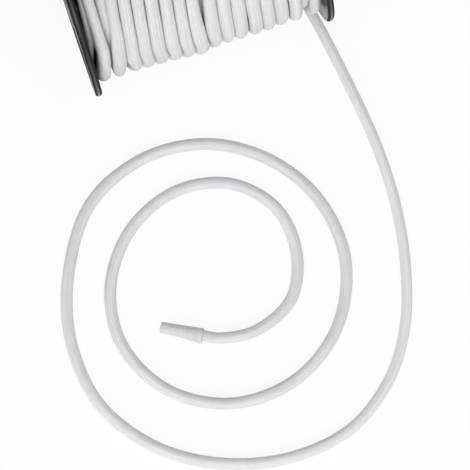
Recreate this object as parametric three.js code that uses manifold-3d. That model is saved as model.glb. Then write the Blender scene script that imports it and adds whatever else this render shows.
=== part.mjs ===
// Roll of white elastic shock cord on a black moulded reel, its loose end laid out in a flat spiral.
// Millimetres, +Z up. The reel's axis runs along X and the loose end leaves it towards -Y.
// The origin is on the surface that the reel rests on, midway between the flanges, below the axis.
import * as THREE from "three";
import { mergeVertices } from "three/addons/utils/BufferGeometryUtils.js";
import Module from "manifold-3d";

const wasm = await Module();
wasm.setup();

// ---- Driving dimensions ----
const CORD_DIAMETER = 7.6; // 8 mm cord, a little stretched
const WOUND_DIAMETER = 8; // the same cord in the winding, pressed a little wider
const INNER_WIDTH = 146; // between the flanges' inner faces
const FLANGE_RADIUS = 75;
const FLANGE_THICKNESS = 4.4;
const RIM_CHAMFER = 1.1; // on the rim's outer edge
const INNER_RIM_CHAMFER = 1.3; // on the edge that faces the winding
const RIM_BEAD_WIDTH = 5; // raised ring round the outer face
const WEB_RECESS = 1; // how far the outer face drops between the rim bead and the hub ring
const RECESS_SLOPE = 0.8; // radial width of the recess's sloping walls
const HUB_RING_RADIUS = 30;
const ARBOR_RADIUS = 16.5; // the bore that runs right through the reel
const BARREL_RADIUS = 20;
const FLAT_LENGTH = 18; // flat spot on each rim, where the reel rests
const GAP = 0.3; // clearance between pieces that touch
const SLEEVE_LENGTH = 27;
const SLEEVE_TIP_RADIUS = 3.55;
const SLEEVE_MOUTH_RADIUS = 4.7;

// ---- Worked out from them ----
const AXIS_HEIGHT = Math.sqrt(FLANGE_RADIUS ** 2 - (FLAT_LENGTH / 2) ** 2);
const WINDING_WIDTH = INNER_WIDTH - 2 * GAP;
const CORE_RADIUS = 63.8; // the layers under the outer one, up to the bottom of its grooves

const FLANGE_SIDES = 72;
const BARREL_SIDES = 36;
const CORE_SIDES = 32;
const WOUND_CORD_SIDES = 7;
const LOOSE_CORD_SIDES = 10;
const SLEEVE_SIDES = 16;
const STEPS_PER_TURN = 16;
const LOOSE_END_STEPS = 78;

// The outer layer. "turn" counts turns from the first one's front, "x" is where the cord then is
// along the reel, and "r" is its distance from the reel's axis. As it climbs, a turn leans along the
// reel by "lean", and it crosses over to the next turn's place from "crosses", in degrees, on.
const TURNS = [
  { turn: -0.75, x: -68.4, r: 57.5 },
  { turn: -0.4, x: -68.6, r: 62.5 },
  { turn: 0, x: -68.4, r: 63, lean: 3.2, crosses: 70 },
  { turn: 1, x: -58.4, r: 63.2, lean: 3, crosses: 27 },
  { turn: 2, x: -48.7, r: 62.8, lean: 1.2, crosses: 20 },
  { turn: 3, x: -40.6, r: 63.3, crosses: 15 },
  { turn: 4, x: -32.5, r: 63.5, crosses: 15 },
  { turn: 5, x: -23, r: 64.1, crosses: 15 },
  { turn: 6, x: -15.3, r: 64.9, crosses: 19 },
  { turn: 7, x: -6.8, r: 65.6, crosses: 25 },
  { turn: 8, x: 2.5, r: 63.9, crosses: 19 },
  { turn: 9, x: 11.7, r: 63.6, crosses: 19 },
  { turn: 10, x: 20, r: 63.9, crosses: 20 },
  { turn: 11, x: 29.8, r: 64.2, crosses: 25 },
  { turn: 12, x: 38.3, r: 64.2, crosses: 25 },
  { turn: 13, x: 46.8, r: 63.4, crosses: 25 },
  { turn: 14, x: 56, r: 63.8, crosses: 25 },
  { turn: 14.85, x: 63.5, r: 61.5 },
  { turn: 15, x: 68.1, r: 63.4 },
  { turn: 15.75, x: 67.4, r: 64 },
];
const CROSSING = 90; // degrees of a turn that its crossing takes
const TAIL_LENGTH = 25; // straight stretch under the winding, where the cord leaves it

const LYING = CORD_DIAMETER / 2 + 0.05; // height of the cord's centre where it lies on the surface

// The loose end's route, from the winding's tail to the mouth of the end sleeve.
const ROUTE = [
  [67.4, -TAIL_LENGTH - GAP, 10.2],
  [67.4, -29.5, 10.1],
  [67.4, -37, 8.7],
  [68.4, -45, 6.5],
  [70.8, -54.5, 4.7],
  [73.3, -68, 4],
  [79.1, -108.5, LYING],
  [83, -148, LYING],
  [82.5, -187.5, LYING],
  [75.9, -227, LYING],
  [63.5, -263.2, LYING],
  [43.2, -292.3, LYING],
  [9.9, -314.6, LYING],
  [-33.2, -319.6, LYING],
  [-76.3, -308.7, LYING],
  [-111.4, -285.4, LYING],
  [-135.6, -249, LYING],
  [-139.8, -205.3, LYING],
  [-127.3, -163.5, LYING],
  [-100.5, -126.7, LYING],
  [-59.6, -110.1, LYING],
  [-18.4, -114.3, LYING],
  [14.7, -135.4, LYING],
  [36.8, -169.3, LYING],
  [40.9, -211.8, LYING],
  [22.1, -251.2, LYING],
  [-13.2, -274.4, LYING],
  [-55.3, -276, LYING],
  [-91.3, -255.5, LYING],
  [-110, -219.5, LYING],
  [-105.9, -182.4, LYING],
  [-82.7, -151.4, LYING],
  [-47.6, -136.7, LYING],
  [-13.1, -142.9, LYING],
  [9.3, -166.2, LYING],
  [13.3, -195.8, LYING],
  [0.9, -224.4, LYING],
  [-26.5, -236.9, 4],
  [-51, -234.1, 4.7],
  [-60, -229.3, 4.75],
];
const SLEEVE_TIP = [-83.2, -216.2, SLEEVE_TIP_RADIUS + 0.1];

// ---- Finishes ----
const blackPlastic = new THREE.MeshStandardMaterial({
  color: 0x2a2a2c,
  roughness: 0.45,
  metalness: 0,
});
const whiteBraid = new THREE.MeshStandardMaterial({
  color: 0xdcdedf,
  roughness: 0.85,
  metalness: 0,
});
const milkyPlastic = new THREE.MeshStandardMaterial({
  color: 0xd6d6d0,
  roughness: 0.4,
  metalness: 0,
});

// ---- Helpers ----
// A geometry's closed surface as a manifold-3d solid.
function solidFrom(geometry) {
  const bare = geometry.clone();
  bare.deleteAttribute("normal");
  bare.deleteAttribute("uv");
  const merged = mergeVertices(bare, 1e-4);
  return new wasm.Manifold(
    new wasm.Mesh({
      numProp: 3,
      vertProperties: new Float32Array(merged.attributes.position.array),
      triVerts: new Uint32Array(merged.index.array),
    }),
  );
}

function geometryFrom(solid) {
  const mesh = solid.getMesh();
  const geometry = new THREE.BufferGeometry();
  geometry.setAttribute("position", new THREE.BufferAttribute(mesh.vertProperties, 3));
  geometry.setIndex(new THREE.BufferAttribute(mesh.triVerts, 1));
  geometry.computeVertexNormals();
  return geometry;
}

function namedMesh(name, geometry, material) {
  const mesh = new THREE.Mesh(geometry, material);
  mesh.name = name;
  return mesh;
}

// A profile of [radius, distance along the axis] pairs, turned about the reel's axis.
function turnedOnReel(profile, sides, towards = 1) {
  const points = profile.map(([radius, along]) => new THREE.Vector2(radius, along));
  const geometry = new THREE.LatheGeometry(points, sides);
  geometry.rotateZ((-towards * Math.PI) / 2);
  geometry.translate(0, 0, AXIS_HEIGHT);
  return geometry;
}

function ringProfile(inner, outer, halfWidth) {
  return [
    [inner, -halfWidth],
    [outer, -halfWidth],
    [outer, halfWidth],
    [inner, halfWidth],
    [inner, -halfWidth],
  ];
}

function cordTube(path, diameter, steps, sides) {
  const corners = Array.from({ length: sides }, (_, i) => {
    const angle = (2 * Math.PI * i) / sides;
    return new THREE.Vector2(Math.cos(angle), Math.sin(angle)).multiplyScalar(diameter / 2);
  });
  return new THREE.ExtrudeGeometry(new THREE.Shape(corners), {
    steps,
    extrudePath: path,
  });
}

// ---- The reel ----
// towards is 1 for the right flange, whose outer face looks along +X, and -1 for the left one.
function flange(name, towards) {
  const inner = INNER_WIDTH / 2;
  const outer = inner + FLANGE_THICKNESS;
  const web = outer - WEB_RECESS;
  const beadRadius = FLANGE_RADIUS - RIM_BEAD_WIDTH;
  const turned = turnedOnReel(
    [
      [ARBOR_RADIUS, inner],
      [FLANGE_RADIUS - INNER_RIM_CHAMFER, inner],
      [FLANGE_RADIUS, inner + INNER_RIM_CHAMFER],
      [FLANGE_RADIUS, outer - RIM_CHAMFER],
      [FLANGE_RADIUS - RIM_CHAMFER, outer],
      [beadRadius, outer],
      [beadRadius - RECESS_SLOPE, web],
      [HUB_RING_RADIUS + RECESS_SLOPE, web],
      [HUB_RING_RADIUS, outer],
      [ARBOR_RADIUS, outer],
      [ARBOR_RADIUS, inner],
    ],
    FLANGE_SIDES,
    towards,
  );
  const below = new THREE.BoxGeometry(4 * INNER_WIDTH, 2 * FLAT_LENGTH, FLAT_LENGTH);
  below.translate(0, 0, -FLAT_LENGTH / 2);
  const flatted = solidFrom(turned).subtract(solidFrom(below));
  return namedMesh(name, geometryFrom(flatted), blackPlastic);
}

function barrel() {
  const profile = ringProfile(ARBOR_RADIUS, BARREL_RADIUS, WINDING_WIDTH / 2);
  return namedMesh("barrel", turnedOnReel(profile, BARREL_SIDES), blackPlastic);
}

// ---- The cord ----
// The outer layer's helix, which ends in a straight tail under the reel.
class WindingPath extends THREE.Curve {
  constructor() {
    super();
    this.first = TURNS[0];
    this.last = TURNS[TURNS.length - 1];
    this.tailTurns = TAIL_LENGTH / (2 * Math.PI * this.last.r);
    this.arcLengthDivisions = 3000;
  }

  onHelix(turn) {
    const { lerp, smoothstep } = THREE.MathUtils;
    const next = TURNS.findIndex((row) => row.turn >= turn);
    const after = TURNS[Math.max(next, 1)];
    const before = TURNS[Math.max(next, 1) - 1];
    const share = (turn - before.turn) / (after.turn - before.turn);
    const climbed = 360 * (turn - before.turn);
    const { crosses, lean = 0 } = before;
    const crossed = crosses ? smoothstep(climbed, crosses, crosses + CROSSING) : share;
    const leaning = lean * (smoothstep(climbed, 0, 40) - smoothstep(climbed, 60, 150));
    const x = lerp(before.x, after.x, crossed) + leaning;
    const r = lerp(before.r, after.r, share);
    const angle = 2 * Math.PI * turn;
    return new THREE.Vector3(x, -r * Math.cos(angle), AXIS_HEIGHT + r * Math.sin(angle));
  }

  getPoint(share) {
    const span = this.last.turn + this.tailTurns - this.first.turn;
    const turn = this.first.turn + share * span;
    if (turn <= this.last.turn) return this.onHelix(turn);
    const end = this.onHelix(this.last.turn);
    end.y -= (turn - this.last.turn) * 2 * Math.PI * this.last.r;
    return end;
  }
}

function winding() {
  const path = new WindingPath();
  const steps = Math.round((path.last.turn - path.first.turn) * STEPS_PER_TURN);
  const outerLayer = solidFrom(cordTube(path, WOUND_DIAMETER, steps, WOUND_CORD_SIDES));
  const coreProfile = ringProfile(BARREL_RADIUS + GAP, CORE_RADIUS, WINDING_WIDTH / 2);
  const core = solidFrom(turnedOnReel(coreProfile, CORE_SIDES));
  return namedMesh("winding", geometryFrom(core.add(outerLayer)), whiteBraid);
}

function looseEnd() {
  const path = new THREE.CatmullRomCurve3(ROUTE.map((point) => new THREE.Vector3(...point)));
  const tube = cordTube(path, CORD_DIAMETER, LOOSE_END_STEPS, LOOSE_CORD_SIDES);
  return namedMesh("loose_end", tube, whiteBraid);
}

function endSleeve() {
  const mouth = new THREE.Vector3(...ROUTE[ROUTE.length - 1]);
  const direction = new THREE.Vector3(...SLEEVE_TIP).sub(mouth).normalize();
  const profile = [
    [0, GAP],
    [SLEEVE_MOUTH_RADIUS, GAP],
    [SLEEVE_TIP_RADIUS, SLEEVE_LENGTH],
    [0, SLEEVE_LENGTH],
  ];
  const points = profile.map(([radius, along]) => new THREE.Vector2(radius, along));
  const sleeve = namedMesh("end_sleeve", new THREE.LatheGeometry(points, SLEEVE_SIDES), milkyPlastic);
  sleeve.position.copy(mouth);
  sleeve.quaternion.setFromUnitVectors(new THREE.Vector3(0, 1, 0), direction);
  return sleeve;
}

// ---- The roll ----
const reel = new THREE.Group();
reel.add(flange("flange_left", -1), flange("flange_right", 1), barrel());

const cord = new THREE.Group();
cord.add(winding(), looseEnd(), endSleeve());

const roll = new THREE.Group();
roll.add(reel, cord);

export default roll;
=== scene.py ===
"""A roll of white braided shock cord on a black moulded reel, its loose end laid in a flat spiral.

Metres, +Z up, but the loose end's route and the tables of turns are in mm. The reel's axis runs
along X, and the loose end leaves it towards -Y.
"""

import math

import bmesh
import bpy
from mathutils import Matrix, Vector, noise


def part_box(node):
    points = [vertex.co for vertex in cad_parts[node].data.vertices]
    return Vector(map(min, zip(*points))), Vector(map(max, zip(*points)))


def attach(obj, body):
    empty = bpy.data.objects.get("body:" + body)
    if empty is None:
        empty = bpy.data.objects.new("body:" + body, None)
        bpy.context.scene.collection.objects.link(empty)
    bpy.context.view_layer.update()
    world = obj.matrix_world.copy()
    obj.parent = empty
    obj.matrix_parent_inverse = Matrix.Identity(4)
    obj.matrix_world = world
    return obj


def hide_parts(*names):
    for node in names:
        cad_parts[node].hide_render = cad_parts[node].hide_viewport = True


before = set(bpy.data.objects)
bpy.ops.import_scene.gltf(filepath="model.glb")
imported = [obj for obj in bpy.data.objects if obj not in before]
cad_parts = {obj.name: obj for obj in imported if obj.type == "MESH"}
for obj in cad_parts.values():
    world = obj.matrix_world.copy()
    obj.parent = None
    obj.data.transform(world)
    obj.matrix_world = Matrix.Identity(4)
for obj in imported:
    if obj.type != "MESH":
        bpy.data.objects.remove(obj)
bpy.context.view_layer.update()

MM = 0.001
FULL_TURN = 2 * math.pi

# ---- The reel: what the frame gives, then the form of its mouldings ----
flange_low, flange_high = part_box("flange_right")
barrel_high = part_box("barrel")[1]
REEL_RADIUS = (flange_high.y - flange_low.y) / 2
AXIS_HEIGHT = flange_high.z - REEL_RADIUS
FLANGE_INNER, FLANGE_OUTER = flange_low.x, flange_high.x
BARREL_HALF_LENGTH, BARREL_RADIUS = barrel_high.x, barrel_high.y
ARBOR_RADIUS = 16.5 * MM
INNER_CHAMFER = 1.3 * MM  # on the rim's edge that faces the winding
OUTER_CHAMFER = 1.1 * MM  # on the rim's outer edge
MOULDED_ROUNDING = 0.2 * MM
RIM_BEAD_WIDTH = 5 * MM  # raised ring round the outer face
WEB_RECESS = 1 * MM  # how far the outer face drops between the rim bead and the hub ring
RECESS_SLOPE = 0.8 * MM  # radial width of the recess's sloping walls
HUB_RING_RADIUS = 30 * MM
FLANGE_SIDES, BARREL_SIDES = 180, 96

# ---- The cord ----
CORD_DIAMETER = 7.6 * MM
CORD_RADIUS = CORD_DIAMETER / 2
WOUND_RADIUS = 4.5 * MM  # on the reel, before its turns press each other flat
STRETCHED = 0.9  # its width where it leaves the reel, as a share of its own width
RELAXES = (250 * MM, 430 * MM)  # from there to there along the loose end it gets its own width back
GRIPPED = 0.07  # share of its width that it loses towards the sleeve, over the last stretch
GRIPPED_OVER = 60 * MM
LOOSE_UNEVENNESS = (0.03, 22)  # share of its radius, and how soon along it that changes
WOUND_UNEVENNESS = (0.02, 25)
LOOSE_STEP = 1.5 * MM  # from one point of its path to the next
LYING = 3.85  # mm, the height of the cord's centre on the surface

# The loose end from the winding's tail to the mouth of the sleeve, in mm.
ROUTE = (
    (67.4, -25.3, 10.2),
    (67.4, -29.5, 10.1),
    (67.4, -37, 8.7),
    (68.4, -45, 6.5),
    (70.8, -54.5, 4.7),
    (73.3, -68, 4),
    (79.1, -108.5, LYING),
    (83, -148, LYING),
    (82.5, -187.5, LYING),
    (75.9, -227, LYING),
    (63.5, -263.2, LYING),
    (43.2, -292.3, LYING),
    (9.9, -314.6, LYING),
    (-33.2, -319.6, LYING),
    (-76.3, -308.7, LYING),
    (-111.4, -285.4, LYING),
    (-135.6, -249, LYING),
    (-139.8, -205.3, LYING),
    (-127.3, -163.5, LYING),
    (-100.5, -126.7, LYING),
    (-59.6, -110.1, LYING),
    (-18.4, -114.3, LYING),
    (14.7, -135.4, LYING),
    (36.8, -169.3, LYING),
    (40.9, -211.8, LYING),
    (22.1, -251.2, LYING),
    (-13.2, -274.4, LYING),
    (-55.3, -276, LYING),
    (-91.3, -255.5, LYING),
    (-110, -219.5, LYING),
    (-105.9, -182.4, LYING),
    (-82.7, -151.4, LYING),
    (-47.6, -136.7, LYING),
    (-13.1, -142.9, LYING),
    (9.3, -166.2, LYING),
    (13.3, -195.8, LYING),
    (0.9, -224.4, LYING),
    (-26.5, -236.9, 4),
    (-51, -234.1, 4.7),
    (-60, -229.3, 4.75),
)
SLEEVE_TIP = (-83.2, -216.2, 3.65)
SLEEVE_LENGTH = 27 * MM
SLEEVE_MOUTH_RADIUS = 4.6 * MM
SLEEVE_TIP_RADIUS = 3.55 * MM
SLEEVE_WALL = 0.5 * MM
SLEEVE_LIP = 0.15 * MM  # rounding of its edges
SLEEVE_FLARE = 1.1 * MM  # how far its mouth opens, towards -Y
FLARES_OVER = 14 * MM
DENT_DEPTH, DENT_FINENESS = 0.12 * MM, 380
SLEEVE_CLEARANCE = 0.05 * MM  # over the surface
SLEEVE_SIDES, SLEEVE_STEPS = 40, 18
SHORT_OF_TIP = 1.5 * MM  # how far inside its sleeve the cord is cut

# The outer layer. A turn starts at the reel's front, at the place x along the reel and the distance
# r from its axis. It leans along the reel as it climbs, and from the angle given last it crosses
# over to the next turn's place. Where that angle is 0, it goes there evenly.
TURNS = (
    # turn, x (mm), r (mm), lean (mm), crosses from (degrees)
    (-0.75, -68.4, 57.5, 0, 0),
    (-0.4, -68.6, 62.5, 0, 0),
    (0, -68.4, 63.0, 3.2, 70),
    (1, -58.4, 63.2, 3.0, 27),
    (2, -48.7, 62.8, 1.2, 20),
    (3, -40.6, 63.3, 0, 15),
    (4, -32.5, 63.5, 0, 15),
    (5, -23.0, 64.1, 0, 15),
    (6, -15.3, 64.9, 0, 19),
    (7, -6.8, 65.6, 0, 25),
    (8, 2.7, 63.9, 0, 19),
    (9, 11.7, 63.6, 0, 19),
    (10, 20.0, 63.9, 0, 20),
    (11, 29.8, 64.2, 0, 25),
    (12, 37.8, 64.2, 0, 25),
    (13, 46.3, 63.4, 0, 25),
    (14, 56.1, 63.8, 0, 25),
    (14.85, 63.5, 61.5, 0, 0),
    (15, 68.1, 63.4, 0, 0),
    (15.75, 67.4, 64.0, 0, 0),
)
FIRST_TURN, LAST_TURN = TURNS[0][0], TURNS[-1][0]
RISEN = TURNS[1][0]  # where the first turn is up from the layer below
STEPS_PER_TURN = 160
CROSSING = 90  # degrees that a crossing takes
LEANS_OVER, STRAIGHTENS_OVER = (0, 40), (60, 150)  # degrees from a turn's start
VEER = 1.2  # mm that some of the turns veer along the reel at its front
VEERING_TURNS = (1.5, 8.5)
VEERS_WITHIN = 18  # degrees from the front
TAIL_LENGTH = 26.2 * MM  # straight, to just past the start of the loose end

# How the turns press together. Two that are near meet a little past the middle between them, and
# as they part they come back to the width of a free one. The first one spreads towards the flange
# at the reel's front.
FREE_HALF_WIDTH = 3.6 * MM
LEAST_HALF_WIDTH = 3.5 * MM
PAST_MIDDLE = 0.05 * MM
PARTING = (9.4 * MM, 10.4 * MM)  # from the middle of one turn to the middle of the next
SPREAD = 0.9 * MM
SPREAD_ENDS = (5, 35)  # degrees from the front
# How flat their sides are, and how much flatter low on the reel's front. They get flatter, and
# rounder again, from there to there in degrees up the front.
FLATNESS, FLATTER = 1.03, 0.07
FLATTENS_OVER, ROUNDS_OVER = (0, 15), (30, 55)

# Turns of the layer below that are squeezed up between two turns of the outer layer, or beside the
# left flange.
TUCKED = (
    # name, outer turn it follows, climbs from (degrees), r (mm), off the middle (mm), width (mm)
    ("beside_flange", 0, 12, 58.5, -10.4, 4.5),
    ("first", 0, 7, 59.4, 1.8, 8.1),
    ("last", 14, -31, 60.6, -1.0, 8.28),
)
TUCKED_RADIUS = 0.92 * WOUND_RADIUS
TUCKED_STEP = 2.5 * MM
TUCKED_CLIMB = 6.5  # mm
CLIMBS_OVER = 45  # degrees
SINKS_OVER = (150, 220)  # degrees up from the front, so at the back
LEAD_IN = 15  # degrees that it runs before it climbs
TUCKED_END, TUCKED_EVERY = 225, 5  # degrees at its end, and from one point to the next

# The layer under the outer one, in mm, on its way from the right to the left.
LOWER_PITCH = 8.3
LOWER_TURN_RADIUS = 56
LOWER_HALF_WIDTH = 68.5
LOWER_STEPS_PER_TURN = 90
LOWER_STEP = 4.5 * MM

# ---- Colours, relief and braid ----
DULL_STRAND = (0.5, 0.5, 0.505)
# Painted shade in the gaps between the braid's strands.
BRAID_GAP_SHADE = (0.425, 0.43, 0.44)
BRAID_STREAK = (0.53, 0.53, 0.535)
PLASTIC_BLACKS = (0.022, 0.022, 0.024), (0.045, 0.045, 0.048)
PLASTIC_SCUFF = (0.13, 0.13, 0.135)
# Painted shade on the reel's chamfers.
PLASTIC_CHAMFER_SHADE = (0.006, 0.006, 0.006)
SLEEVE_WHITES = (0.61, 0.615, 0.62), (0.67, 0.665, 0.64)
# Painted shade in the sleeve's creases.
SLEEVE_CREASE_SHADE = (0.5, 0.5, 0.5)
BRAID_RELIEF, PLASTIC_RELIEF, SLEEVE_RELIEF = 0.15 * MM, 0.05 * MM, 0.3 * MM
TURNING_MARKS = 0.9 * MM  # from one mark on the plastic to the next

# Braid: the two whites that its thread varies between, how far along the cord one strand follows
# another, how much the strands differ, and how strong, long and fine the streaks of stretched
# thread are. The loose end's thread is painted lighter from the reel until it has relaxed: painted
# light against the winding's shade where it leaves the reel.
STRANDS_EACH_WAY = 20
FILAMENTS = 5  # that show on a strand
DULL_STRANDS = 7  # how often round the cord its strands go from dull to bright
LOOSE_BRAID = dict(
    threads=((0.79, 0.812, 0.842), (0.86, 0.868, 0.876)),
    pitch=1.8 * MM,
    uneven=0.05,
    streaking=0.42,
    streak_length=60 * MM,
    fineness=5,
    painted_light_thread=(0.9, 0.9, 0.895),
)
WOUND_BRAID = dict(
    threads=((0.83, 0.833, 0.837), (0.848, 0.845, 0.838)),
    pitch=3.0 * MM,
    uneven=0.1,
    streaking=0.55,
    streak_length=45 * MM,
    fineness=7,
)


# ---- Camera ----
CAMERA_PLACE = (-0.09836, -0.41066, 1.88847)
CAMERA_AIM = (-0.02037, -0.17459, 0)
LENS, SENSOR_WIDTH = 229.8, 36  # mm


def make_camera():
    data = bpy.data.cameras.new("camera")
    data.lens = LENS
    data.sensor_width = SENSOR_WIDTH
    camera = bpy.data.objects.new("camera", data)
    bpy.context.scene.collection.objects.link(camera)
    camera.location = CAMERA_PLACE
    sight = Vector(CAMERA_AIM) - camera.location
    camera.rotation_euler = sight.to_track_quat("-Z", "Y").to_euler()
    bpy.context.scene.camera = camera


make_camera()


# ---- Shader maths ----
class Signal:
    """An output socket. Arithmetic on it adds the Math nodes that work the result out."""

    def __init__(self, socket):
        self.socket = socket

    @staticmethod
    def node(tree, kind, settings=None, inputs=None, output=0):
        """Any other node: its type, its settings, and its sockets' values or links."""
        made = tree.nodes.new("ShaderNode" + kind)
        for name, value in (settings or {}).items():
            setattr(made, name, value)
        for name, value in (inputs or {}).items():
            if isinstance(value, Signal):
                tree.links.new(value.socket, made.inputs[name])
            else:
                made.inputs[name].default_value = value
        return Signal(made.outputs[output])

    def other(self, output):
        """Another output of the same node."""
        return Signal(self.socket.node.outputs[output])

    def maths(self, operation, *values):
        tree = self.socket.id_data
        return Signal.node(tree, "Math", {"operation": operation}, dict(enumerate(values)))

    def __add__(self, value):
        return self.maths("ADD", self, value)

    def __radd__(self, value):
        return self.maths("ADD", value, self)

    def __sub__(self, value):
        return self.maths("SUBTRACT", self, value)

    def __rsub__(self, value):
        return self.maths("SUBTRACT", value, self)

    def __mul__(self, value):
        return self.maths("MULTIPLY", self, value)

    def __rmul__(self, value):
        return self.maths("MULTIPLY", value, self)

    def __mod__(self, value):
        return self.maths("FLOORED_MODULO", self, value)

    def __lt__(self, value):
        return self.maths("LESS_THAN", self, value)

    def __gt__(self, value):
        return self.maths("GREATER_THAN", self, value)

    def floor(self):
        return self.maths("FLOOR", self)

    def fraction(self):
        return self.maths("FRACT", self)

    def sine(self):
        return self.maths("SINE", self)

    def root(self):
        return self.maths("SQRT", self)

    def eased(self, low, high):
        """0 up to low, 1 from high, and a soft step between them."""
        return Signal.node(
            self.socket.id_data,
            "MapRange",
            {"interpolation_type": "SMOOTHSTEP"},
            {"Value": self, "From Min": low, "From Max": high},
        )

    def between(self, first, second):
        """One colour where this is 0, the other where it is 1."""
        # On a Mix node, sockets 6 and 7 are the two colours, and output 2 is the mixed one.
        sockets = {0: self}
        for socket, colour in ((6, first), (7, second)):
            sockets[socket] = colour if isinstance(colour, Signal) else (*colour, 1)
        return Signal.node(self.socket.id_data, "Mix", {"data_type": "RGBA"}, sockets, output=2)


def on_object(tree):
    return Signal.node(tree, "TexCoord").other("Object")


def cloudy(tree, scale, detail, place=None):
    """Soft noise, from 0 to 1, on the object or on a place of its own."""
    return Signal.node(
        tree,
        "TexNoise",
        {"noise_dimensions": "3D"},
        {"Vector": place or on_object(tree), "Scale": scale, "Detail": detail},
    )


def new_finish(name, **constants):
    """A material with its shader's constant sockets set."""
    material = bpy.data.materials.new(name)
    material.use_nodes = True
    shader = material.node_tree.nodes["Principled BSDF"]
    for socket, value in constants.items():
        shader.inputs[socket.replace("_", " ")].default_value = value
    return material, material.node_tree


def dress(tree, colour, roughness, height, depth):
    """Link what varies over the surface: colour, roughness and relief."""
    shader = tree.nodes["Principled BSDF"]
    relief = Signal.node(tree, "Bump", inputs={"Height": height, "Distance": depth})
    for name, signal in (("Base Color", colour), ("Roughness", roughness), ("Normal", relief)):
        tree.links.new(signal.socket, shader.inputs[name])


def braid_finish(
    name, length, threads, pitch, uneven, streaking, streak_length, fineness, painted_light_thread=None
):
    """White braid on a cord of that length. Strands pass over two and under two, so they lie in
    columns of chevrons along the cord, and streaks of stretched thread run along it too."""
    material, tree = new_finish(name, Specular_IOR_Level=0.2)
    uv = Signal.node(tree, "TexCoord").other("UV")
    u = Signal.node(tree, "SeparateXYZ", inputs={0: uv})
    v = u.other("Y")
    along, around = u * (length / pitch), v * STRANDS_EACH_WAY
    rising, falling = along + around, along - around
    rising_on_top = ((rising.floor() - falling.floor()) % 4) < 1.5
    across = falling.fraction() + rising_on_top * (rising.fraction() - falling.fraction())
    swell = (across * math.pi).sine()
    filaments = (across * (FILAMENTS * FULL_TURN)).sine() * 0.5 + 0.5
    strand = falling.floor() + rising_on_top * (rising.floor() - falling.floor())
    dull = (strand * (FULL_TURN * DULL_STRANDS / STRANDS_EACH_WAY)).sine() * 0.5 + 0.5

    bearing = v * FULL_TURN
    round_and_along = {
        "X": bearing.sine() * fineness,
        "Y": (bearing + math.pi / 2).sine() * fineness,
        "Z": u * (length / streak_length),
    }
    place = Signal.node(tree, "CombineXYZ", inputs=round_and_along)
    streaks = cloudy(tree, 1, 3, place).eased(0.35, 0.7)
    height = swell * 0.6 + filaments * 0.15 + cloudy(tree, 900, 3) * 0.25 + streaks * streaking

    patches = cloudy(tree, 80, 3).eased(0.36, 0.64)
    thread = patches.between(*threads)
    # Painted light: the loose end is painted lighter from the reel to where it has relaxed, against
    # the winding's shade.
    if painted_light_thread:
        thread = (u * length).eased(*RELAXES).between(painted_light_thread, thread)
    thread = (dull * uneven).between(thread, DULL_STRAND)
    # The edges of each strand are painted darker: painted shade in the gaps between strands.
    gap = 1 - swell.eased(0, 0.75)
    colour = (gap * 0.45).between(thread, BRAID_GAP_SHADE)
    colour = (streaks * streaking).between(colour, BRAID_STREAK)
    dress(tree, colour, 0.72 + patches * 0.12, height, BRAID_RELIEF)
    return material


def plastic_finish():
    """Black moulded plastic, satin with faint turning marks and scuffs, matt on the chamfers, which
    are painted near black as painted shade.
    """
    material, tree = new_finish("black_reel_plastic", Specular_IOR_Level=0.4)
    place = Signal.node(tree, "SeparateXYZ", inputs={0: on_object(tree)})
    y, z = place.other("Y"), place.other("Z") - AXIS_HEIGHT
    radius = (y * y + z * z).root()
    marks = (radius * (FULL_TURN / TURNING_MARKS)).sine() * 0.5 + 0.5
    grain = cloudy(tree, 1500, 2)
    mottle = cloudy(tree, 90, 3)
    scuffs = cloudy(tree, 420, 4).eased(0.6, 0.74)
    colour = (mottle * 0.5).between(*PLASTIC_BLACKS)
    colour = (scuffs * 0.35).between(colour, PLASTIC_SCUFF)
    from_inner = place.maths("ABSOLUTE", place) - FLANGE_INNER
    to_outer = FLANGE_OUTER - FLANGE_INNER - from_inner
    margin = 0.25 * MM
    inside_edge = (from_inner < INNER_CHAMFER + margin) * (radius > REEL_RADIUS - INNER_CHAMFER)
    outside_edge = (to_outer < OUTER_CHAMFER + margin) * (radius > REEL_RADIUS - OUTER_CHAMFER)
    # The chamfers are made matt and painted near black: painted shade.
    matt = (inside_edge + outside_edge) * 0.95
    colour = matt.between(colour, PLASTIC_CHAMFER_SHADE)
    roughness = 0.2 + mottle * 0.16 + scuffs * 0.25 + matt * 0.7
    height = marks * 0.25 + grain * 0.4 + mottle * 0.6
    dress(tree, colour, roughness, height, PLASTIC_RELIEF)
    return material


def sleeve_finish():
    """Milky plastic, shrunk on, with a few faint creases along it, painted darker in them as
    painted shade.
    """
    material, tree = new_finish("milky_sleeve_plastic", Specular_IOR_Level=0.5)
    mottle = cloudy(tree, 240, 3)
    creases = cloudy(tree, 700, 2).eased(0.45, 0.7)
    colour = mottle.eased(0.3, 0.7).between(*SLEEVE_WHITES)
    # Painted shade: the creases are painted darker.
    colour = (creases * 0.2).between(colour, SLEEVE_CREASE_SHADE)
    dress(tree, colour, 0.38 + mottle * 0.2, mottle + creases * 0.4, SLEEVE_RELIEF)
    return material


# ---- Helpers for shapes ----
def piece_from(name, mesh, material):
    """A finished mesh as a piece that stays with the roll."""
    piece = bpy.data.objects.new(name, mesh)
    bpy.context.scene.collection.objects.link(piece)
    mesh.materials.append(material)
    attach(piece, "root")
    return piece


def mesh_from(shape, name):
    """A bmesh as a mesh, shaded smooth apart from its sharp edges."""
    mesh = bpy.data.meshes.new(name)
    sharp = math.radians(40)
    for edge in shape.edges:
        edge.smooth = edge.calc_face_angle(0) < sharp
    for face in shape.faces:
        face.smooth = True
    shape.to_mesh(mesh)
    shape.free()
    return mesh


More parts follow.
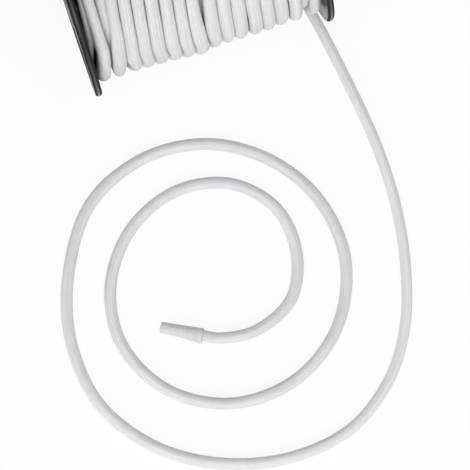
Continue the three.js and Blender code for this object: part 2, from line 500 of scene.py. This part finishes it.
def spun(profile, sides):
    """A closed profile of (x, radius) pairs, turned once about the X axis."""
    shape = bmesh.new()
    corners = [shape.verts.new((x, 0, r)) for x, r in profile]
    edges = [shape.edges.new(pair) for pair in zip(corners, corners[1:] + corners[:1])]
    bmesh.ops.spin(
        shape,
        geom=corners + edges,
        cent=(0, 0, 0),
        axis=(1, 0, 0),
        angle=FULL_TURN,
        steps=sides,
        use_merge=True,
    )
    bmesh.ops.recalc_face_normals(shape, faces=shape.faces)
    return shape


def spun_on_reel(profile, sides):
    """The same, about the reel's own axis."""
    shape = spun(profile, sides)
    bmesh.ops.translate(shape, vec=(0, 0, AXIS_HEIGHT), verts=shape.verts)
    return shape


def round_edges(shape, width, segments=3, sharper_than=25):
    sharp = [e for e in shape.edges if e.calc_face_angle(0) > math.radians(sharper_than)]
    bmesh.ops.bevel(
        shape,
        geom=sharp,
        offset=width,
        affect="EDGES",
        segments=segments,
        profile=0.5,
        material=-1,
        clamp_overlap=True,
    )


def smooth_curve(points):
    """Points close together on a centripetal Catmull-Rom curve through the given points."""
    samples = 24
    points = [2 * points[0] - points[1], *points, 2 * points[-1] - points[-2]]
    dense = []
    for before, start, end, after in zip(points, points[1:], points[2:], points[3:]):
        first, span, last = (
            math.sqrt((b - a).length) for a, b in ((before, start), (start, end), (end, after))
        )
        leaving = (start - before) / first - (end - before) / (first + span) + (end - start) / span
        arriving = (end - start) / span - (after - start) / (span + last) + (after - end) / last
        leaving, arriving = leaving * span, arriving * span
        for i in range(samples):
            s = i / samples
            dense.append(
                start * (2 * s**3 - 3 * s**2 + 1)
                + leaving * (s**3 - 2 * s**2 + s)
                + end * (3 * s**2 - 2 * s**3)
                + arriving * (s**3 - s**2)
            )
    dense.append(points[-2])
    return dense


def eased(value, low, high):
    """0 up to low, 1 from high, and a soft step between them."""
    share = min(1, max(0, (value - low) / (high - low)))
    return share * share * (3 - 2 * share)


def evenly_spaced(dense, step):
    """The same line with its points a constant distance apart, and its length."""
    lengths = [0.0]
    for a, b in zip(dense, dense[1:]):
        lengths.append(lengths[-1] + (b - a).length)
    count = round(lengths[-1] / step)
    even, i = [], 0
    for k in range(count + 1):
        goal = min(lengths[-1], k * lengths[-1] / count)
        while i < len(dense) - 2 and lengths[i + 1] < goal:
            i += 1
        share = (goal - lengths[i]) / (lengths[i + 1] - lengths[i])
        even.append(dense[i].lerp(dense[i + 1], share))
    return even, lengths[-1]


def cord_mesh(name, points, radii, bevel_resolution=5):
    """A round tube along evenly spaced points. Its UV map runs 0 to 1 along it and around it."""
    data = bpy.data.curves.new(name, "CURVE")
    data.dimensions = "3D"
    data.twist_mode = "MINIMUM"
    data.bevel_depth = 1.0
    data.bevel_resolution = bevel_resolution
    data.use_fill_caps = True
    spline = data.splines.new("POLY")
    spline.points.add(len(points) - 1)
    for knot, point, radius in zip(spline.points, points, radii):
        knot.co = (*point, 1)
        knot.radius = radius
    shell = bpy.data.objects.new(name, data)
    bpy.context.scene.collection.objects.link(shell)
    bpy.context.view_layer.update()
    mesh = bpy.data.meshes.new_from_object(
        shell.evaluated_get(bpy.context.evaluated_depsgraph_get())
    )
    bpy.data.objects.remove(shell)
    mesh.name = name
    mesh.shade_smooth()
    return mesh


def rings_round(mesh, path):
    """Each point of a cord's path, with the vertices round it."""
    sides = len(mesh.vertices) // len(path)
    for i, centre in enumerate(path):
        yield centre, mesh.vertices[i * sides : (i + 1) * sides]


def uneven_radius(radius, point, share, fineness):
    """A radius that varies softly from place to place, by up to that share of it."""
    return radius * (1 + share * noise.noise(point * fineness))


# ---- The loose end and its sleeve ----
def sleeve_axis():
    mouth, tip = Vector(ROUTE[-1]) * MM, Vector(SLEEVE_TIP) * MM
    return mouth, (tip - mouth).normalized()


def make_loose_end():
    mouth, towards_tip = sleeve_axis()
    sleeved = SLEEVE_LENGTH - SHORT_OF_TIP
    # Its width at the tip reaches into the sleeve's wall, so that no gap shows between them.
    squeeze = CORD_RADIUS - (SLEEVE_TIP_RADIUS - 0.7 * SLEEVE_WALL)
    points = [Vector(point) * MM for point in ROUTE]
    points += [mouth + towards_tip * sleeved * share for share in (0.5, 1)]
    path, length = evenly_spaced(smooth_curve(points), LOOSE_STEP)
    radii = []
    for i, point in enumerate(path):
        done = i * length / (len(path) - 1)
        to_go = length - done
        width = STRETCHED + (1 - STRETCHED) * eased(done, *RELAXES)
        width -= GRIPPED * eased(to_go, sleeved + GRIPPED_OVER, sleeved)
        radius = uneven_radius(CORD_RADIUS * width, point, *LOOSE_UNEVENNESS)
        radii.append(radius - squeeze * max(0, 1 - to_go / sleeved))
    finish = braid_finish("white_braid_loose", length, **LOOSE_BRAID)
    cord = piece_from("loose_end_cord", cord_mesh("loose_end_cord", path, radii), finish)
    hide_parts("loose_end")


def make_sleeve():
    """A thin tube, open at both ends, that flares a little on one side of its mouth."""
    shares = [i / SLEEVE_STEPS for i in range(SLEEVE_STEPS + 1)]
    taper = SLEEVE_TIP_RADIUS - SLEEVE_MOUTH_RADIUS
    outside = [(SLEEVE_LENGTH * s, SLEEVE_MOUTH_RADIUS + taper * s**0.8) for s in shares]
    inside = [(x, r - SLEEVE_WALL) for x, r in reversed(outside)]
    shape = spun(outside + inside, SLEEVE_SIDES)
    round_edges(shape, SLEEVE_LIP, segments=2, sharper_than=60)
    mouth, towards_tip = sleeve_axis()
    turn = towards_tip.to_track_quat("X", "Z").to_matrix().to_4x4()
    bmesh.ops.transform(shape, matrix=Matrix.Translation(mouth) @ turn, verts=shape.verts)
    for vert in shape.verts:
        along = (vert.co - mouth).dot(towards_tip)
        outwards = (vert.co - mouth - towards_tip * along).normalized()
        flare = SLEEVE_FLARE * max(0, -outwards.y) * (1 - eased(along, 0, FLARES_OVER))
        dent = DENT_DEPTH * noise.noise(vert.co * DENT_FINENESS)
        vert.co += outwards * (flare + dent)
        vert.co.z = max(vert.co.z, SLEEVE_CLEARANCE)
    sleeve = piece_from("end_sleeve_shrunk", mesh_from(shape, "end_sleeve_shrunk"), sleeve_finish())
    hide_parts("end_sleeve")


make_sleeve()
make_loose_end()


# ---- The winding ----
def round_reel(turn, x, r):
    """A point on a turn, from mm. Whole turns are at the front, and half a turn on is the back."""
    angle = FULL_TURN * turn
    return Vector((x * MM, -r * MM * math.cos(angle), AXIS_HEIGHT + r * MM * math.sin(angle)))


def on_outer_layer(turn):
    """The point that the outer layer reaches after that many turns."""
    row = max(i for i, start in enumerate(TURNS[:-1]) if start[0] <= turn + 1e-6 or i == 0)
    (start, x, r, lean, crosses), (end, next_x, next_r, *_) = TURNS[row], TURNS[row + 1]
    share = (turn - start) / (end - start)
    climbed = (turn - start) * 360
    x += (next_x - x) * (eased(climbed, crosses, crosses + CROSSING) if crosses else share)
    x += lean * (eased(climbed, *LEANS_OVER) - eased(climbed, *STRAIGHTENS_OVER))
    if VEERING_TURNS[0] < turn < VEERING_TURNS[1]:
        from_front = abs(turn - round(turn)) * 360
        x += VEER * (1 - eased(from_front, 0, VEERS_WITHIN))
    return round_reel(turn, x, r + (next_r - r) * share)


def room_beside(turn, neighbour):
    """Half the width of a turn on the side of its neighbour."""
    if neighbour < RISEN:  # there is only the flange
        return FREE_HALF_WIDTH + SPREAD * (1 - eased(abs(turn) * 360, *SPREAD_ENDS))
    if neighbour > LAST_TURN:
        return FREE_HALF_WIDTH
    spacing = abs(on_outer_layer(neighbour).x - on_outer_layer(turn).x)
    pressed = max(spacing / 2 + PAST_MIDDLE, LEAST_HALF_WIDTH)
    return pressed + (FREE_HALF_WIDTH - pressed) * eased(spacing, *PARTING)


def press_together(mesh, turns, path):
    """Fit the wound cord's sides to the room that they have, and flatten them."""
    for turn, (centre, ring) in zip(turns, rings_round(mesh, path)):
        up_front = (turn % 1) * 360
        low_down = eased(up_front, *FLATTENS_OVER) * (1 - eased(up_front, *ROUNDS_OVER))
        flatness = FLATNESS + FLATTER * low_down
        left, right = room_beside(turn, turn - 1), room_beside(turn, turn + 1)
        for vert in ring:
            sideways = vert.co.x - centre.x
            room = right if sideways > 0 else left
            wide = min(1, abs(sideways) / WOUND_RADIUS * flatness) * room
            vert.co.x = centre.x + math.copysign(wide, sideways)


def wound_piece(name, mesh, length):
    finish = braid_finish("white_braid_" + name, length, **WOUND_BRAID)
    piece = piece_from(name, mesh, finish)
    return piece


def wound_radii(path, radius=WOUND_RADIUS):
    return [uneven_radius(radius, point, *WOUND_UNEVENNESS) for point in path]


def make_outer_turns():
    """The outer layer, from where it rises out of the one below to its straight tail."""
    count = LAST_TURN - FIRST_TURN
    steps = round(count * STEPS_PER_TURN)
    turns = [FIRST_TURN + count * i / steps for i in range(steps + 1)]
    path = [on_outer_layer(turn) for turn in turns]
    radii = wound_radii(path)
    step = (path[-1] - path[-2]).length
    tail_steps = round(TAIL_LENGTH / step)
    for i in range(1, tail_steps + 1):
        path.append(path[-1] - Vector((0, step, 0)))
        radii.append(WOUND_RADIUS + (STRETCHED * CORD_RADIUS - WOUND_RADIUS) * i / tail_steps)
    mesh = cord_mesh("outer_turns", path, radii)
    press_together(mesh, turns, path)
    piece = wound_piece("outer_turns", mesh, step * (len(path) - 1))
    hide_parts("winding")


def make_tucked_turn(name, beside, climbs_from, r, off_middle, width):
    """It climbs in the middle between the two turns, or that far off it, and sinks at the back."""
    points = []
    for angle in range(climbs_from - LEAD_IN, TUCKED_END, TUCKED_EVERY):
        turn = beside + angle / 360
        x = (on_outer_layer(turn).x + on_outer_layer(turn + 1).x) / (2 * MM) + off_middle
        up = eased(angle, climbs_from, climbs_from + CLIMBS_OVER) - eased(angle, *SINKS_OVER)
        points.append(round_reel(turn, x, r - TUCKED_CLIMB * (1 - up)))
    path, length = evenly_spaced(smooth_curve(points), TUCKED_STEP)
    name = "tucked_turn_" + name
    mesh = cord_mesh(name, path, wound_radii(path, TUCKED_RADIUS))
    squeezed = width * MM / (2 * TUCKED_RADIUS)
    for centre, ring in rings_round(mesh, path):
        for vert in ring:
            vert.co.x = centre.x + (vert.co.x - centre.x) * squeezed
    wound_piece(name, mesh, length)


def make_lower_turns():
    """The layer under the outer one, which shows only as shade in the grooves."""
    count = 2 * LOWER_HALF_WIDTH / LOWER_PITCH
    steps = round(count * LOWER_STEPS_PER_TURN)
    turns = [count * i / steps for i in range(steps + 1)]
    dense = [
        round_reel(turn, LOWER_HALF_WIDTH - LOWER_PITCH * turn, LOWER_TURN_RADIUS)
        for turn in turns
    ]
    path, length = evenly_spaced(dense, LOWER_STEP)
    mesh = cord_mesh("lower_turns", path, wound_radii(path), bevel_resolution=3)
    wound_piece("lower_turns", mesh, length)


make_outer_turns()
for tucked in TUCKED:
    make_tucked_turn(*tucked)
make_lower_turns()


# ---- The reel ----
def flange_mesh(name, side):
    """side is 1 for the right flange and -1 for the left one. Its rim has a flat to rest on."""
    inner, outer = FLANGE_INNER, FLANGE_OUTER
    web = outer - WEB_RECESS
    bead = REEL_RADIUS - RIM_BEAD_WIDTH
    profile = (
        (inner, ARBOR_RADIUS),
        (inner, REEL_RADIUS - INNER_CHAMFER),
        (inner + INNER_CHAMFER, REEL_RADIUS),
        (outer - OUTER_CHAMFER, REEL_RADIUS),
        (outer, REEL_RADIUS - OUTER_CHAMFER),
        (outer, bead),
        (web, bead - RECESS_SLOPE),
        (web, HUB_RING_RADIUS + RECESS_SLOPE),
        (outer, HUB_RING_RADIUS),
        (outer, ARBOR_RADIUS),
    )
    shape = spun_on_reel([(side * x, r) for x, r in profile], FLANGE_SIDES)
    round_edges(shape, MOULDED_ROUNDING)
    cut = bmesh.ops.bisect_plane(
        shape,
        geom=shape.verts[:] + shape.edges[:] + shape.faces[:],
        dist=1e-7,
        plane_co=(0, 0, 0),
        plane_no=(0, 0, 1),
        clear_inner=True,
    )
    rim = [e for e in cut["geom_cut"] if isinstance(e, bmesh.types.BMEdge)]
    bmesh.ops.contextual_create(shape, geom=rim)
    bmesh.ops.recalc_face_normals(shape, faces=shape.faces)
    return mesh_from(shape, name)


def barrel_mesh(name):
    half = BARREL_HALF_LENGTH
    profile = (
        (-half, ARBOR_RADIUS),
        (half, ARBOR_RADIUS),
        (half, BARREL_RADIUS),
        (-half, BARREL_RADIUS),
    )
    return mesh_from(spun_on_reel(profile, BARREL_SIDES), name)


def make_reel():
    plastic = plastic_finish()
    meshes = {
        "flange_left": flange_mesh("flange_left", -1),
        "flange_right": flange_mesh("flange_right", 1),
        "barrel": barrel_mesh("barrel_moulding"),
    }
    for node, mesh in meshes.items():
        moulding = piece_from(node + "_moulding", mesh, plastic)
        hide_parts(node)


make_reel()


# ---- Floor and light ----
SOFTBOX = (1.2, 0.8)
LAMPS = (
    # name, place, power (W)
    ("front_softbox", (-0.11, -1.42, 1.27), 7),
    ("top_softbox", (0, -0.2, 1.8), 8.3),
    ("left_softbox", (-1.7, -0.15, 0.62), 5.5),
    ("front_left_softbox", (-1.2, -1.35, 0.62), 9.5),
    ("front_right_softbox", (1.2, -1.35, 0.62), 7),
)
LAMP_AIM = (0, -0.15, 0)
WORLD_STRENGTH = 0.34
FLOOR_HALF_SIZE = 6
FLOOR_GLOW = 0.9
FLOOR_PAINT_SEEN, FLOOR_PAINT_UNSEEN = (0.95, 0.95, 0.95), (0.8, 0.8, 0.8)


def make_floor():
    """A white floor. It glows evenly where it is seen, and throws less light up at the roll."""
    shape = bmesh.new()
    bmesh.ops.create_grid(shape, x_segments=1, y_segments=1, size=FLOOR_HALF_SIZE)
    floor = bpy.data.objects.new("floor", mesh_from(shape, "floor"))
    bpy.context.scene.collection.objects.link(floor)
    material = bpy.data.materials.new("white_floor")
    material.use_nodes = True
    tree = material.node_tree
    tree.nodes.remove(tree.nodes["Principled BSDF"])
    rays = Signal.node(tree, "LightPath")
    seen = rays.maths("MAXIMUM", rays, rays.other("Is Glossy Ray"))
    seen = seen.maths("MAXIMUM", seen, rays.other("Is Transmission Ray"))
    paint = rays.between(FLOOR_PAINT_UNSEEN, FLOOR_PAINT_SEEN)
    matt = Signal.node(tree, "BsdfDiffuse", inputs={"Color": paint})
    glow = Signal.node(tree, "Emission", inputs={"Color": (1, 1, 1, 1), "Strength": 1})
    both = Signal.node(tree, "MixShader", inputs={0: seen * FLOOR_GLOW, 1: matt, 2: glow})
    tree.links.new(both.socket, tree.nodes["Material Output"].inputs["Surface"])
    floor.data.materials.append(material)


def soft_lamp(name, place, power):
    data = bpy.data.lights.new(name, "AREA")
    data.shape = "RECTANGLE"
    data.size, data.size_y = SOFTBOX
    data.energy = power
    lamp = bpy.data.objects.new(name, data)
    bpy.context.scene.collection.objects.link(lamp)
    lamp.location = place
    beam = Vector(LAMP_AIM) - lamp.location
    lamp.rotation_euler = beam.to_track_quat("-Z", "Y").to_euler()


def make_light():
    world = bpy.data.worlds.new("studio")
    bpy.context.scene.world = world
    world.use_nodes = True
    background = world.node_tree.nodes["Background"]
    background.inputs["Color"].default_value = (1, 1, 1, 1)
    background.inputs["Strength"].default_value = WORLD_STRENGTH
    for lamp in LAMPS:
        soft_lamp(*lamp)


make_floor()
make_light()
bpy.context.scene.view_settings.view_transform = "Standard"
